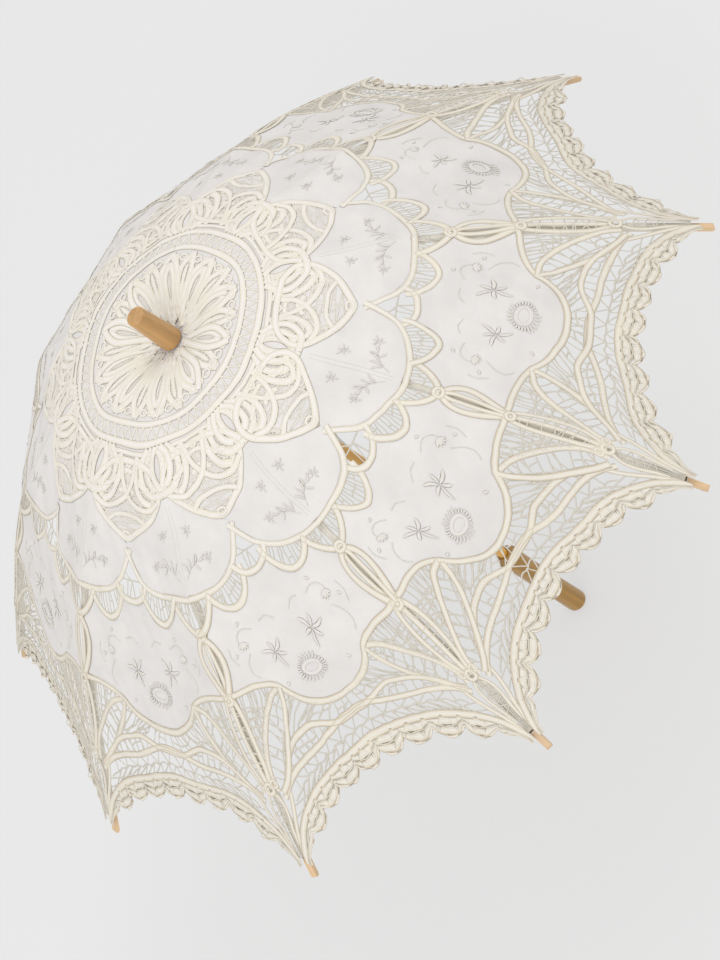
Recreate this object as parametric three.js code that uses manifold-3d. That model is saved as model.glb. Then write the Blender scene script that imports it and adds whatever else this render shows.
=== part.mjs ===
// Lace parasol: a wooden-framed sunshade with ten ribs, a sliding runner and a cloth and lace canopy.
// Units are millimetres. The shaft stands along +Z, the ferrule is on top, and the origin is the
// centre of the flat end of the handle. Rib 1 lies over +X and the others follow every 36 degrees.
import * as THREE from "three";
import { mergeVertices } from "three/addons/utils/BufferGeometryUtils.js";
import Module from "manifold-3d";

const wasm = await Module();
wasm.setup();

// ---- driving dimensions ----
const RIB_COUNT = 10;
const TIP_RADIUS = 400; // shaft axis to the end of a rib, open
const APEX_Z = 641; // height that the dome would reach without its dimple
const DIMPLE_DEPTH = 18; // the canopy dips where it is tied down round the shaft
const DIMPLE_RADIUS = 42;
const DOME_SQUARE = 0.25; // dome drop as shares of the tip radius: u^2, u^3 and u^4 terms
const DOME_CUBE = 0.92;
const DOME_FOURTH = -0.53;

const SHAFT_RADIUS = 5;
const SHAFT_FOOT_Z = 32;
const SHAFT_TOP_Z = 654;
const HANDLE_RADIUS = 11;
const HANDLE_TOP_Z = 117.5;
const COLLAR_RADIUS = 12;
const COLLAR_TOP_Z = 131;
const FERRULE_BASE_RADIUS = 11;
const FERRULE_TIP_RADIUS = 9;
const FERRULE_TIP_Z = 674;
const FIT_GAP = 0.3; // clearance between pieces that touch

const PANEL_THICKNESS = 1.6; // cloth and lace, as one plain skin
const CAP_RADIUS = 26; // the gathered centre of the canopy
const SPLIT_X = 178.35; // where the canopy and the ribs bend as the parasol closes
const CORNER_RADIUS = 386; // the canopy's corners are tied here, short of the rib tips
const TIP_RUN_ON = 2.5; // the ribs run on past the tip radius along the dome, because they lie under it
const EDGE_DIP = 0.1075; // how far each edge arch runs in between two ribs, as a share of its radius
const EDGE_POWER = 0.8; // how soon each edge arch flattens on its way in

const RIB_WIDTH = 5.5;
const RIB_HEIGHT = 4.5;
const RIB_TOP_OFFSET = 3.2; // canopy's middle surface to the top of a rib
const RIB_ROOT_WIDTH = 3.6; // the thinned root that enters the notch
const RIB_ROOT_LENGTH = 14;
const PIVOT_RADIUS = 11; // shaft axis to the hinge pins of the notch and the runner
const WIRE_RADIUS = 0.6;
const EYE_RADIUS = 0.95;
const NOTCH_RADIUS = 14.5;
const NOTCH_CORE_RADIUS = 8.3;
const NOTCH_HEIGHT = 13.8;
const SLOT_WIDTH = 4.2;

const LUG_AT = 164; // where the stretcher's bracket sits under the rib
const LUG_DROP = 8.5; // rib's middle to the stretcher's pin
const LUG_INNER = 2.45; // half the gap between the two cheeks
const LUG_OUTER = 3.7;
const LUG_LENGTH = 10;
const PIN_RADIUS = 1;
const STRETCHER_WIDTH = 3.6;
const STRETCHER_HEIGHT = 4;
const RUNNER_PIVOT_Z = 445;
const RUNNER_RADIUS = 14;
const RUNNER_CROWN_HEIGHT = 14;
const SLEEVE_RADIUS = 8.2;
const SLEEVE_LENGTH = 33;
const RUNNER_BORE = 5.35;

const CATCH_LENGTH = 30; // thumb catch that holds the runner open
const CATCH_THICKNESS = 1.6;
const CATCH_STAND_OUT = 3.4;
const STOP_RING_WALL = 2;
const STOP_RING_HEIGHT = 3;

// ---- colours ----
const WOOD_LIGHT = 0xd9a864;
const WOOD_HONEY = 0xb9803c;
const WOOD_PALE = 0xd8b48a;
const LINEN = 0xe9e5df;
const STEEL = 0x9a9a98;

const wood = (color) => new THREE.MeshStandardMaterial({ color, roughness: 0.45, metalness: 0 });
const cloth = () => new THREE.MeshStandardMaterial({ color: LINEN, roughness: 0.9, metalness: 0 });
const metal = () => new THREE.MeshStandardMaterial({ color: STEEL, roughness: 0.35, metalness: 0.9 });

const HALF_SECTOR = Math.PI / RIB_COUNT;
const parasol = new THREE.Group();

// ---- the dome ----
// Height of the canopy's middle surface above a rib, at a distance r from the shaft axis.
function domeHeight(r) {
  const u = r / TIP_RADIUS;
  const drop = TIP_RADIUS * (DOME_SQUARE * u ** 2 + DOME_CUBE * u ** 3 + DOME_FOURTH * u ** 4);
  const dimple = DIMPLE_DEPTH * Math.exp(-((r / DIMPLE_RADIUS) ** 2));
  return APEX_Z - drop - dimple;
}

function domeSlope(r) {
  const step = 0.1;
  return Math.atan((domeHeight(r - step) - domeHeight(r + step)) / (2 * step));
}

// A point in a rib's upright plane, at a depth measured square to the dome.
function underDome(r, depth) {
  const slope = domeSlope(r);
  return new THREE.Vector2(r - depth * Math.sin(slope), domeHeight(r) - depth * Math.cos(slope));
}

// Between two ribs the cloth is straight across, so every point takes the height of one rib radius.
// x runs along the rib and t across it.
function ribRadiusOf(x, t) {
  return x + Math.abs(t) * Math.tan(HALF_SECTOR);
}

const RIB_MIDDLE = RIB_TOP_OFFSET + RIB_HEIGHT / 2;
const NOTCH_PIN = underDome(PIVOT_RADIUS - 1.1, RIB_MIDDLE);
const FLEX_PIN = new THREE.Vector2(SPLIT_X, underDome(SPLIT_X + 1.65, RIB_TOP_OFFSET).y);
const STRETCHER_PIN = underDome(LUG_AT, RIB_MIDDLE + LUG_DROP);

// ---- geometry helpers ----
function toManifold(geometry) {
  const bare = geometry.clone();
  bare.deleteAttribute("normal");
  bare.deleteAttribute("uv");
  const merged = mergeVertices(bare, 1e-4);
  const mesh = new wasm.Mesh({
    numProp: 3,
    vertProperties: new Float32Array(merged.attributes.position.array),
    triVerts: new Uint32Array(merged.index.array),
  });
  return new wasm.Manifold(mesh);
}

function toGeometry(solid) {
  const mesh = solid.getMesh();
  const geometry = new THREE.BufferGeometry();
  geometry.setAttribute("position", new THREE.BufferAttribute(new Float32Array(mesh.vertProperties), 3));
  geometry.setIndex(new THREE.BufferAttribute(new Uint32Array(mesh.triVerts), 1));
  geometry.computeVertexNormals();
  return geometry;
}

function addMesh(name, geometry, material, azimuth = 0) {
  const mesh = new THREE.Mesh(geometry, material);
  mesh.name = name;
  mesh.rotation.z = azimuth;
  parasol.add(mesh);
}

// A solid of revolution about Z. The profile is a list of [radius, height], from the bottom up its
// outside and back down its bore.
function turned(profile, segments = 32) {
  const points = profile.map(([radius, height]) => new THREE.Vector2(radius, height));
  points.push(points[0].clone());
  const geometry = new THREE.LatheGeometry(points, segments);
  geometry.rotateX(Math.PI / 2);
  return geometry;
}

// A flat outline in the upright plane of a rib (x outwards, y up), given a width across that plane.
function upright(shape, width, curveSegments = 8) {
  const settings = { depth: width, bevelEnabled: false, curveSegments };
  const geometry = new THREE.ExtrudeGeometry(shape, settings);
  geometry.translate(0, 0, -width / 2);
  geometry.rotateX(Math.PI / 2);
  return geometry;
}

function boxAt(sizeX, sizeY, sizeZ, x, y, z) {
  const geometry = new THREE.BoxGeometry(sizeX, sizeY, sizeZ);
  geometry.translate(x, y, z);
  return geometry;
}

function ribAzimuth(index) {
  return (2 * Math.PI * index) / RIB_COUNT;
}

function numbered(name, index) {
  return `${name}_${String(index + 1).padStart(2, "0")}`;
}

// ---- shaft, handle and ferrule ----
function shaftGeometry() {
  const r = SHAFT_RADIUS;
  const rod = turned([[0, SHAFT_FOOT_Z], [r, SHAFT_FOOT_Z], [r, SHAFT_TOP_Z], [0, SHAFT_TOP_Z]], 24);
  const slotTop = runnerBottom() + 1;
  const slotLength = CATCH_LENGTH + 4;
  const slotFloor = -1.2;
  const slotDepth = 2 * r;
  const slotMiddle = slotTop - slotLength / 2;
  const slot = boxAt(slotDepth, CATCH_THICKNESS + 0.8, slotLength, slotFloor + slotDepth / 2, 0, slotMiddle);
  return toGeometry(toManifold(rod).subtract(toManifold(slot)));
}

function handleGeometry() {
  const r = HANDLE_RADIUS;
  const bore = SHAFT_RADIUS + FIT_GAP;
  const foot = SHAFT_FOOT_Z - FIT_GAP;
  return turned([
    [0, 0], [r - 3.5, 0], [r - 1.5, 0.8], [r - 0.3, 2.6], [r, 5.5], [r - 0.6, 60],
    [r, HANDLE_TOP_Z - 4], [r - 1, HANDLE_TOP_Z], [bore, HANDLE_TOP_Z], [bore, foot], [0, foot],
  ]);
}

function collarGeometry() {
  const bore = SHAFT_RADIUS + FIT_GAP;
  const foot = HANDLE_TOP_Z + FIT_GAP;
  const r = COLLAR_RADIUS;
  return turned([
    [bore, foot], [r - 2.4, foot], [r - 0.5, foot + 1.4], [r, foot + 3.2], [r - 0.5, foot + 5],
    [r - 2.8, foot + 6.6], [r - 2.2, foot + 7.8], [r - 2.2, foot + 9.6], [r - 4, foot + 11.4],
    [r - 4.6, COLLAR_TOP_Z], [bore, COLLAR_TOP_Z],
  ]);
}

function ferruleGeometry() {
  const bore = SHAFT_RADIUS + FIT_GAP;
  const foot = domeHeight(0) + PANEL_THICKNESS / 2 + 1.9;
  return turned([
    [bore, foot], [FERRULE_BASE_RADIUS - 0.6, foot], [FERRULE_BASE_RADIUS, foot + 0.8],
    [FERRULE_TIP_RADIUS, FERRULE_TIP_Z - 1.2], [FERRULE_TIP_RADIUS - 1.2, FERRULE_TIP_Z],
    [0, FERRULE_TIP_Z], [0, SHAFT_TOP_Z + FIT_GAP], [bore, SHAFT_TOP_Z + FIT_GAP],
  ]);
}

// ---- notch and runner: turned wood with one slot for each rib or stretcher ----
function slotted(blank, bottom, top, depthRadius) {
  let solid = toManifold(blank);
  for (let i = 0; i < RIB_COUNT; i += 1) {
    const length = 12;
    const slot = boxAt(length, SLOT_WIDTH, top - bottom + 2, depthRadius + length / 2, 0, (top + bottom) / 2);
    slot.rotateZ(ribAzimuth(i));
    solid = solid.subtract(toManifold(slot));
  }
  return toGeometry(solid);
}

function notchGeometry() {
  const top = domeHeight(0) - PANEL_THICKNESS / 2 - FIT_GAP;
  const bottom = top - NOTCH_HEIGHT;
  const bore = SHAFT_RADIUS + FIT_GAP;
  const grooveLow = NOTCH_PIN.y - 1;
  const grooveHigh = NOTCH_PIN.y + 1;
  const grooveRadius = PIVOT_RADIUS - 1.1;
  const blank = turned([
    [bore, bottom], [NOTCH_RADIUS - 1, bottom], [NOTCH_RADIUS, bottom + 1], [NOTCH_RADIUS, grooveLow],
    [grooveRadius, grooveLow], [grooveRadius, grooveHigh], [NOTCH_RADIUS, grooveHigh],
    [NOTCH_RADIUS, top], [bore, top],
  ]);
  return slotted(blank, bottom, top, NOTCH_CORE_RADIUS);
}

function notchWireGeometry() {
  const profile = [];
  const sides = 8;
  for (let i = 0; i < sides; i += 1) {
    const angle = (2 * Math.PI * (i + 0.5)) / sides;
    profile.push([PIVOT_RADIUS + WIRE_RADIUS * Math.cos(angle), NOTCH_PIN.y + WIRE_RADIUS * Math.sin(angle)]);
  }
  return turned(profile, 40);
}

function runnerBottom() {
  return RUNNER_PIVOT_Z - RUNNER_CROWN_HEIGHT / 2 - SLEEVE_LENGTH;
}

function runnerGeometry() {
  const bottom = runnerBottom();
  const crownLow = RUNNER_PIVOT_Z - RUNNER_CROWN_HEIGHT / 2;
  const crownHigh = RUNNER_PIVOT_Z + RUNNER_CROWN_HEIGHT / 2;
  const blank = turned([
    [RUNNER_BORE, bottom], [SLEEVE_RADIUS + 0.8, bottom], [SLEEVE_RADIUS + 1.4, bottom + 1.5],
    [SLEEVE_RADIUS + 0.8, bottom + 3], [SLEEVE_RADIUS, bottom + 5], [SLEEVE_RADIUS, crownLow],
    [RUNNER_RADIUS, crownLow], [RUNNER_RADIUS, crownHigh], [RUNNER_BORE, crownHigh],
  ]);
  return slotted(blank, crownLow, crownHigh, NOTCH_CORE_RADIUS);
}

// The catch is a bent leaf in the shaft's slot. Its shoulder stands out just under the runner.
function catchGeometry() {
  const top = runnerBottom() - FIT_GAP - 0.3;
  const shape = new THREE.Shape();
  shape.moveTo(SHAFT_RADIUS - 1.6, top);
  shape.lineTo(SHAFT_RADIUS + CATCH_STAND_OUT - 0.4, top);
  shape.lineTo(SHAFT_RADIUS + CATCH_STAND_OUT, top - 1.2);
  shape.lineTo(SHAFT_RADIUS - 0.6, top - CATCH_LENGTH);
  shape.lineTo(SHAFT_RADIUS - 1.6, top - CATCH_LENGTH);
  shape.closePath();
  return upright(shape, CATCH_THICKNESS);
}

// A steel ring on the shaft, which stops the runner from sliding up past the catch.
function stopRingGeometry() {
  const bore = SHAFT_RADIUS + FIT_GAP;
  const foot = RUNNER_PIVOT_Z + RUNNER_CROWN_HEIGHT / 2 + FIT_GAP;
  const outside = bore + STOP_RING_WALL;
  return turned([[bore, foot], [outside, foot], [outside, foot + STOP_RING_HEIGHT], [bore, foot + STOP_RING_HEIGHT]]);
}

// ---- ribs ----
// Outline of a stick that follows the dome between two radii, at a given depth and height.
function stickOutline(from, to, steps) {
  const upper = [];
  const lower = [];
  for (let i = 0; i <= steps; i += 1) {
    const r = from + ((to - from) * i) / steps;
    upper.push(underDome(r, RIB_TOP_OFFSET));
    lower.push(underDome(r, RIB_TOP_OFFSET + RIB_HEIGHT));
  }
  return { upper, lower };
}

function roundEnd(points, centre, from, to, radius, steps = 6) {
  for (let i = 1; i < steps; i += 1) {
    const angle = from + ((to - from) * i) / steps;
    const x = centre.x + radius * Math.cos(angle);
    points.push(new THREE.Vector2(x, centre.y + radius * Math.sin(angle)));
  }
}

function pinHole(centre, radius) {
  const hole = new THREE.Path();
  hole.absarc(centre.x, centre.y, radius, 0, 2 * Math.PI, true);
  return hole;
}

function innerRibGeometry() {
  const { upper, lower } = stickOutline(PIVOT_RADIUS - 1.1, SPLIT_X + 1.3, 14);
  const points = [...lower, ...upper.reverse()];
  const slope = -domeSlope(PIVOT_RADIUS - 1.1);
  roundEnd(points, NOTCH_PIN, slope + Math.PI / 2, slope + (3 * Math.PI) / 2, RIB_HEIGHT / 2);
  const shape = new THREE.Shape(points);
  shape.holes.push(pinHole(NOTCH_PIN, EYE_RADIUS));
  let solid = toManifold(upright(shape, RIB_WIDTH, 6));
  for (const side of [-1, 1]) {
    const waste = (RIB_WIDTH - RIB_ROOT_WIDTH) / 2 + 1;
    const y = side * (RIB_ROOT_WIDTH / 2 + waste / 2);
    const reach = RIB_ROOT_LENGTH + 4;
    solid = solid.subtract(toManifold(boxAt(reach, waste, 30, NOTCH_PIN.x - 4 + reach / 2, y, NOTCH_PIN.y)));
    solid = solid.add(toManifold(lugGeometry(side)));
  }
  return toGeometry(solid.add(toManifold(lugPinGeometry())));
}

// One cheek of the bracket that holds the stretcher's pin under the rib.
function lugGeometry(side) {
  const slope = domeSlope(LUG_AT);
  const along = new THREE.Vector2(Math.cos(slope), -Math.sin(slope));
  const half = along.clone().multiplyScalar(LUG_LENGTH / 2);
  const top = underDome(LUG_AT, RIB_MIDDLE);
  const points = [top.clone().sub(half), STRETCHER_PIN.clone().sub(half)];
  roundEnd(points, STRETCHER_PIN, -slope - Math.PI, -slope, LUG_LENGTH / 2);
  points.push(STRETCHER_PIN.clone().add(half), top.clone().add(half));
  const cheek = upright(new THREE.Shape(points), LUG_OUTER - LUG_INNER);
  cheek.translate(0, (side * (LUG_OUTER + LUG_INNER)) / 2, 0);
  return cheek;
}

function lugPinGeometry() {
  const pin = new THREE.CylinderGeometry(PIN_RADIUS, PIN_RADIUS, LUG_INNER + LUG_OUTER, 10);
  pin.translate(STRETCHER_PIN.x, 0, STRETCHER_PIN.y);
  return pin;
}

function outerRibGeometry() {
  const { upper, lower } = stickOutline(SPLIT_X + 2.1, TIP_RADIUS + TIP_RUN_ON, 14);
  const points = [...lower];
  const slope = -domeSlope(TIP_RADIUS + TIP_RUN_ON);
  const centre = underDome(TIP_RADIUS + TIP_RUN_ON, RIB_MIDDLE);
  roundEnd(points, centre, slope - Math.PI / 2, slope + Math.PI / 2, RIB_HEIGHT / 2);
  points.push(...upper.reverse());
  return upright(new THREE.Shape(points), RIB_WIDTH);
}

// ---- stretchers ----
function stretcherGeometry() {
  const foot = new THREE.Vector2(PIVOT_RADIUS, RUNNER_PIVOT_Z);
  const direction = STRETCHER_PIN.clone().sub(foot);
  const angle = direction.angle();
  const radius = STRETCHER_HEIGHT / 2;
  const points = [];
  roundEnd(points, STRETCHER_PIN, angle - Math.PI / 2, angle + Math.PI / 2, radius, 8);
  roundEnd(points, foot, angle + Math.PI / 2, angle + (3 * Math.PI) / 2, radius, 8);
  const shape = new THREE.Shape(points);
  shape.holes.push(pinHole(STRETCHER_PIN, PIN_RADIUS + FIT_GAP));
  return upright(shape, STRETCHER_WIDTH, 6);
}

// ---- canopy ----
// A skin over a grid of points: rows run outwards and columns run across. Its two faces stand half the
// thickness either side of the dome.
function skinGeometry(rows, thickness) {
  const vertices = [];
  const indices = [];
  const across = rows[0].length;
  for (const side of [1, -1]) {
    for (const row of rows) {
      for (const [x, t] of row) {
        const r = ribRadiusOf(x, t);
        const lift = (side * thickness) / 2 / Math.cos(domeSlope(r));
        vertices.push(x, t, domeHeight(r) + lift);
      }
    }
  }
  const under = rows.length * across;
  const quad = (a, b, c, d) => indices.push(a, b, c, a, c, d);
  for (let i = 0; i < rows.length - 1; i += 1) {
    for (let j = 0; j < across - 1; j += 1) {
      const a = i * across + j;
      const b = a + across;
      quad(a, b, b + 1, a + 1);
      quad(under + a, under + a + 1, under + b + 1, under + b);
    }
  }
  for (let j = 0; j < across - 1; j += 1) {
    const last = (rows.length - 1) * across + j;
    quad(j, j + 1, under + j + 1, under + j);
    quad(last, under + last, under + last + 1, last + 1);
  }
  for (let i = 0; i < rows.length - 1; i += 1) {
    const a = i * across;
    const b = a + across;
    quad(a, under + a, under + b, b);
    const c = a + across - 1;
    const d = b + across - 1;
    quad(c, d, under + d, under + c);
  }
  const geometry = new THREE.BufferGeometry();
  geometry.setAttribute("position", new THREE.Float32BufferAttribute(vertices, 3));
  geometry.setIndex(indices);
  geometry.computeVertexNormals();
  return geometry;
}

// Columns of a panel: shares of the half width, from one side of the rib to the other.
function columns(perSide) {
  const shares = [];
  for (let j = -perSide; j <= perSide; j += 1) {
    shares.push(j / perSide);
  }
  return shares;
}

function halfWidthAt(x) {
  return x * Math.tan(HALF_SECTOR) - FIT_GAP / 2 / Math.cos(HALF_SECTOR);
}

function innerPanelGeometry() {
  const rows = [];
  const steps = 6;
  const start = (CAP_RADIUS + FIT_GAP) / Math.cos(HALF_SECTOR);
  const end = SPLIT_X - FIT_GAP / 2;
  for (let i = 0; i <= steps; i += 1) {
    rows.push(columns(2).map((share) => {
      const first = start * Math.cos(HALF_SECTOR * share);
      const x = first + ((end - first) * i) / steps;
      return [x, share * halfWidthAt(x)];
    }));
  }
  return skinGeometry(rows, PANEL_THICKNESS);
}

// Where the scalloped edge lies at a share of the way from a rib to the middle of the gore.
function edgeX(share) {
  const angle = HALF_SECTOR * share;
  const arch = EDGE_DIP * Math.sin((Math.PI / 2) * share ** EDGE_POWER);
  return CORNER_RADIUS * (1 - arch) * Math.cos(angle);
}

function outerPanelGeometry() {
  const rows = [];
  const steps = 8;
  const start = SPLIT_X + FIT_GAP / 2;
  for (let i = 0; i <= steps; i += 1) {
    rows.push(columns(4).map((share) => {
      const spread = Math.abs(share) ** 1.4 * Math.sign(share);
      const end = edgeX(Math.abs(spread));
      const x = start + ((end - start) * i) / steps;
      return [x, spread * halfWidthAt(x)];
    }));
  }
  return skinGeometry(rows, PANEL_THICKNESS);
}

// The gathered centre: a dished disc with a hole for the shaft.
function capGeometry() {
  const profile = [];
  const bore = SHAFT_RADIUS + FIT_GAP;
  const steps = 4;
  const half = PANEL_THICKNESS / 2;
  for (let i = 0; i <= steps; i += 1) {
    const r = bore + ((CAP_RADIUS - bore) * i) / steps;
    profile.push([r, domeHeight(r) - half]);
  }
  for (let i = steps; i >= 0; i -= 1) {
    const r = bore + ((CAP_RADIUS - bore) * i) / steps;
    profile.push([r, domeHeight(r) + half]);
  }
  return turned(profile, 40);
}

// ---- assembly ----
addMesh("shaft", shaftGeometry(), wood(WOOD_HONEY));
addMesh("handle", handleGeometry(), wood(WOOD_HONEY));
addMesh("handle_collar", collarGeometry(), wood(WOOD_HONEY));
addMesh("ferrule", ferruleGeometry(), wood(WOOD_LIGHT));
addMesh("top_notch", notchGeometry(), wood(WOOD_PALE));
addMesh("notch_wire", notchWireGeometry(), metal());
addMesh("runner", runnerGeometry(), wood(WOOD_PALE));
addMesh("catch_spring", catchGeometry(), metal());
addMesh("stop_ring", stopRingGeometry(), metal());
addMesh("canopy_cap", capGeometry(), cloth());
for (let i = 0; i < RIB_COUNT; i += 1) {
  const azimuth = ribAzimuth(i);
  addMesh(numbered("rib_upper", i), innerRibGeometry(), wood(WOOD_PALE), azimuth);
  addMesh(numbered("rib_lower", i), outerRibGeometry(), wood(WOOD_PALE), azimuth);
  addMesh(numbered("stretcher", i), stretcherGeometry(), wood(WOOD_PALE), azimuth);
  addMesh(numbered("canopy_inner", i), innerPanelGeometry(), cloth(), azimuth);
  addMesh(numbered("canopy_outer", i), outerPanelGeometry(), cloth(), azimuth);
}

export default parasol;
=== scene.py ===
import math

import bpy
import numpy as np
from mathutils import Matrix, Vector
from mathutils.geometry import delaunay_2d_cdt


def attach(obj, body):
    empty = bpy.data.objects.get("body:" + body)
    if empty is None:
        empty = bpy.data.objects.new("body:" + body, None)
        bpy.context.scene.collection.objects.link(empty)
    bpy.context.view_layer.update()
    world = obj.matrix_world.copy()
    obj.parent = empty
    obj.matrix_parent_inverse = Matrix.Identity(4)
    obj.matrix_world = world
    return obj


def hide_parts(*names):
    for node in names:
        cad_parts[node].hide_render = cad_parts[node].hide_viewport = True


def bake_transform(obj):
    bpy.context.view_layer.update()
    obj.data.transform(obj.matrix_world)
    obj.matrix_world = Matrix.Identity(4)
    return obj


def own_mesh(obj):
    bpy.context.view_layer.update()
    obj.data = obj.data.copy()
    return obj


bl_info = {
    "name": "Lace Parasol",
    "version": (1, 0, 0),
    "blender": (4, 5, 0),
    "location": "View3D > Sidebar > Parasol",
    "description": "Dresses a ten-ribbed wooden parasol frame in linen, tape lace and thread",
    "category": "Object",
}

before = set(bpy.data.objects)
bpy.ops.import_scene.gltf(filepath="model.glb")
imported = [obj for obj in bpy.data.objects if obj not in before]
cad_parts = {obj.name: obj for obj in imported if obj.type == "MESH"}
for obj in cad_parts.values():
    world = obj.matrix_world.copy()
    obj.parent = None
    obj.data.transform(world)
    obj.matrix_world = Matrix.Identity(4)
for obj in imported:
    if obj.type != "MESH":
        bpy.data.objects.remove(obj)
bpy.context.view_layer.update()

# All plan drawing below is in millimetres, seen from above, with the shaft at the middle.
MM = 0.001
SECTORS = 10
HALF = math.pi / SECTORS
TILT = math.tan(HALF)

# The dome that the frame was bent to.
TIP_RADIUS = 400.0
APEX = 641.0
DIMPLE = 18.0
DIMPLE_RADIUS = 42.0
RIB_DEPTH = 5.45  # canopy's middle surface to the middle of a rib
BEND_X = 178.35  # the ribs bend here as the parasol closes
FIELD_END = 420.0
PLEAT_DEPTH = 0.6  # of the gathers round the ferrule
SPLINE_STEPS = 12
TAPER_LENGTH = 12.0
THREAD_STEP = 3.0
SEAM = 0.8  # from the border tape's middle to the edging
INNER_THREAD_RADIUS = 170.0  # threads nearer than this are as pale as the tape
SLOPE_ALLOWANCE = 1.25  # flat length over plan length, one figure for every piece of linen
BINDING_RADII = (386.6, 387.5, 388.4, 389.3, 390.1, 390.9)
BINDING_DARK = 390.1
BINDING_THREAD = 0.5  # half the thread's thickness

CAMERA_PLACE = (-0.0603, -1.9632, 2.2869)
CAMERA_RIGHT = (0.52369, -0.60489, -0.59988)
CAMERA_UP = (0.85175, 0.35806, 0.38252)
CAMERA_LENS = 113.64
FLOOR_REACH = 30.0
FLOOR_DROP = 0.0005  # keeps the floor just under the handle's end

# Folding zones of the cloth: where each starts and ends along the rib, and how narrow it is
# pleated when closed.
ZONES = (
    ("hub", 0.0, 36.0, None),
    ("crown", 36.0, 58.0, 0.70),
    ("rosette", 58.0, 82.0, 0.57),
    ("ring", 82.0, 108.0, 0.45),
    ("shoulder", 108.0, 140.0, 0.315),
    ("petal", 140.0, BEND_X, 0.21),
    ("skirt", BEND_X, FIELD_END, 0.15),
)


# ---- sizes and colours a user may change ----
def a_number(name, description, default, **more):
    return bpy.props.FloatProperty(name=name, description=description, default=default, **more)


def a_length(name, description, default):
    return a_number(name, description, default, unit="LENGTH")


def a_colour(name, description, default):
    return bpy.props.FloatVectorProperty(
        name=name, description=description, subtype="COLOR", default=default
    )


class ParasolClothSettings(bpy.types.PropertyGroup):
    tape_width: a_length("Tape width", "Width of the woven lace tape", 0.0053)
    thread_width: a_length("Thread width", "Thickness of the joining threads", 0.0010)
    linen_thickness: a_length("Linen thickness", "Thickness of the linen", 0.0006)
    rumple: a_length("Rumple", "How far the cloth wanders from the taut dome", 0.0007)
    wander: a_length("Wander", "How far the handwork strays from its drawing", 0.0016)


class ParasolColourSettings(bpy.types.PropertyGroup):
    linen: a_colour("Linen", "Colour of the linen", (0.745, 0.717, 0.695))
    tape: a_colour("Tape", "Colour of the lace tape", (0.81, 0.772, 0.69))
    thread: a_colour("Thread", "Colour of the threads", (0.68, 0.64, 0.56))
    honey: a_colour("Shaft wood", "Colour of the shaft and handle", (0.80, 0.42, 0.07))
    light_wood: a_colour("Ferrule wood", "Colour of the ferrule", (0.52, 0.29, 0.105))
    rib_wood: a_colour("Rib wood", "Colour of the bare rib tips", (0.72, 0.50, 0.29))
    pale_wood: a_colour("Bleached wood", "Colour of the ribs under the cloth", (0.80, 0.76, 0.68))


class ParasolStageSettings(bpy.types.PropertyGroup):
    floor: a_colour("Floor", "Colour of the floor", (0.30, 0.30, 0.30))
    glow: a_number("Glow", "How far the floor is lit from behind", 0.485)
    sky: a_number("Sky", "Strength of the room's even light", 0.80)
    key: a_number("Key light", "Power of the large soft light", 22.0, unit="POWER")


# ---- the dome as a surface ----
def smooth(low, high, x):
    t = np.clip((x - low) / (high - low), 0, 1)
    return t * t * (3 - 2 * t)


def dome(r):
    u = r / TIP_RADIUS
    drop = TIP_RADIUS * (0.25 * u**2 + 0.92 * u**3 - 0.53 * u**4)
    return APEX - drop - DIMPLE * np.exp(-((r / DIMPLE_RADIUS) ** 2))


def slope(r):
    return math.atan((dome(r - 0.1) - dome(r + 0.1)) / 0.2)


def waves(seed, count, shortest, longest):
    """Directions, lengths and phases of a few gentle waves that never repeat between two gores."""
    rng = np.random.default_rng(seed)
    angle = rng.uniform(0, 2 * math.pi, count)
    length = rng.uniform(shortest, longest, count)
    turn = 2 * math.pi / length
    return turn * np.cos(angle), turn * np.sin(angle), rng.uniform(0, 2 * math.pi, count)


STRAY_X = waves(3, 5, 55, 130)
STRAY_Y = waves(4, 5, 55, 130)
SWELL = waves(5, 7, 26, 80)
CREASE = waves(6, 6, 11, 22)


def ripple(plan, field):
    a, b, phase = field
    return np.sin(plan[..., :1] * a + plan[..., 1:2] * b + phase).mean(-1)


def strayed(plan, size):
    r = np.hypot(plan[..., 0], plan[..., 1])
    much = size * smooth(25, 70, r) * (1 - smooth(330, 372, r)) * 2.2
    moved = np.stack([ripple(plan, STRAY_X), ripple(plan, STRAY_Y)], -1)
    return plan + moved * much[..., None]


def height(plan, rumple):
    x, y = plan[..., 0], plan[..., 1]
    r = np.hypot(x, y)
    turn = np.arctan2(y, x)
    from_rib = turn - np.round(turn / (2 * HALF)) * 2 * HALF
    across = np.abs(r * np.sin(from_rib))
    rounded = np.sqrt(across**2 + 2.0**2) - 2.0
    z = dome(r * np.cos(from_rib) + rounded * TILT)
    share = np.clip(across / np.maximum(r * math.sin(HALF), 1e-6), 0, 1)
    open_cloth = smooth(0.0, 0.45, share) * smooth(60, 130, r) * (1 - smooth(330, 380, r))
    z = z + rumple * (3.0 * ripple(plan, SWELL) + 1.1 * ripple(plan, CREASE)) * open_cloth
    pleat = np.sin(turn * 30 + 1.5 * np.sin(turn * 3)) * (1 - smooth(20, 46, r)) * smooth(6, 14, r)
    return z + PLEAT_DEPTH * pleat


def lifted(plan, level, cloth):
    """Points on the canopy, in millimetres, a level above its middle surface."""
    plan = strayed(plan, cloth.wander / MM)
    rumple = cloth.rumple / MM
    step = 0.5
    z = height(plan, rumple)
    dx = height(plan + [step, 0], rumple) - height(plan - [step, 0], rumple)
    dy = height(plan + [0, step], rumple) - height(plan - [0, step], rumple)
    normal = np.stack([-dx, -dy, np.full_like(dx, 2 * step)], -1)
    normal /= np.linalg.norm(normal, axis=-1, keepdims=True)
    return np.concatenate([plan, z[..., None]], -1) + normal * np.asarray(level)[..., None], normal


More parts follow.
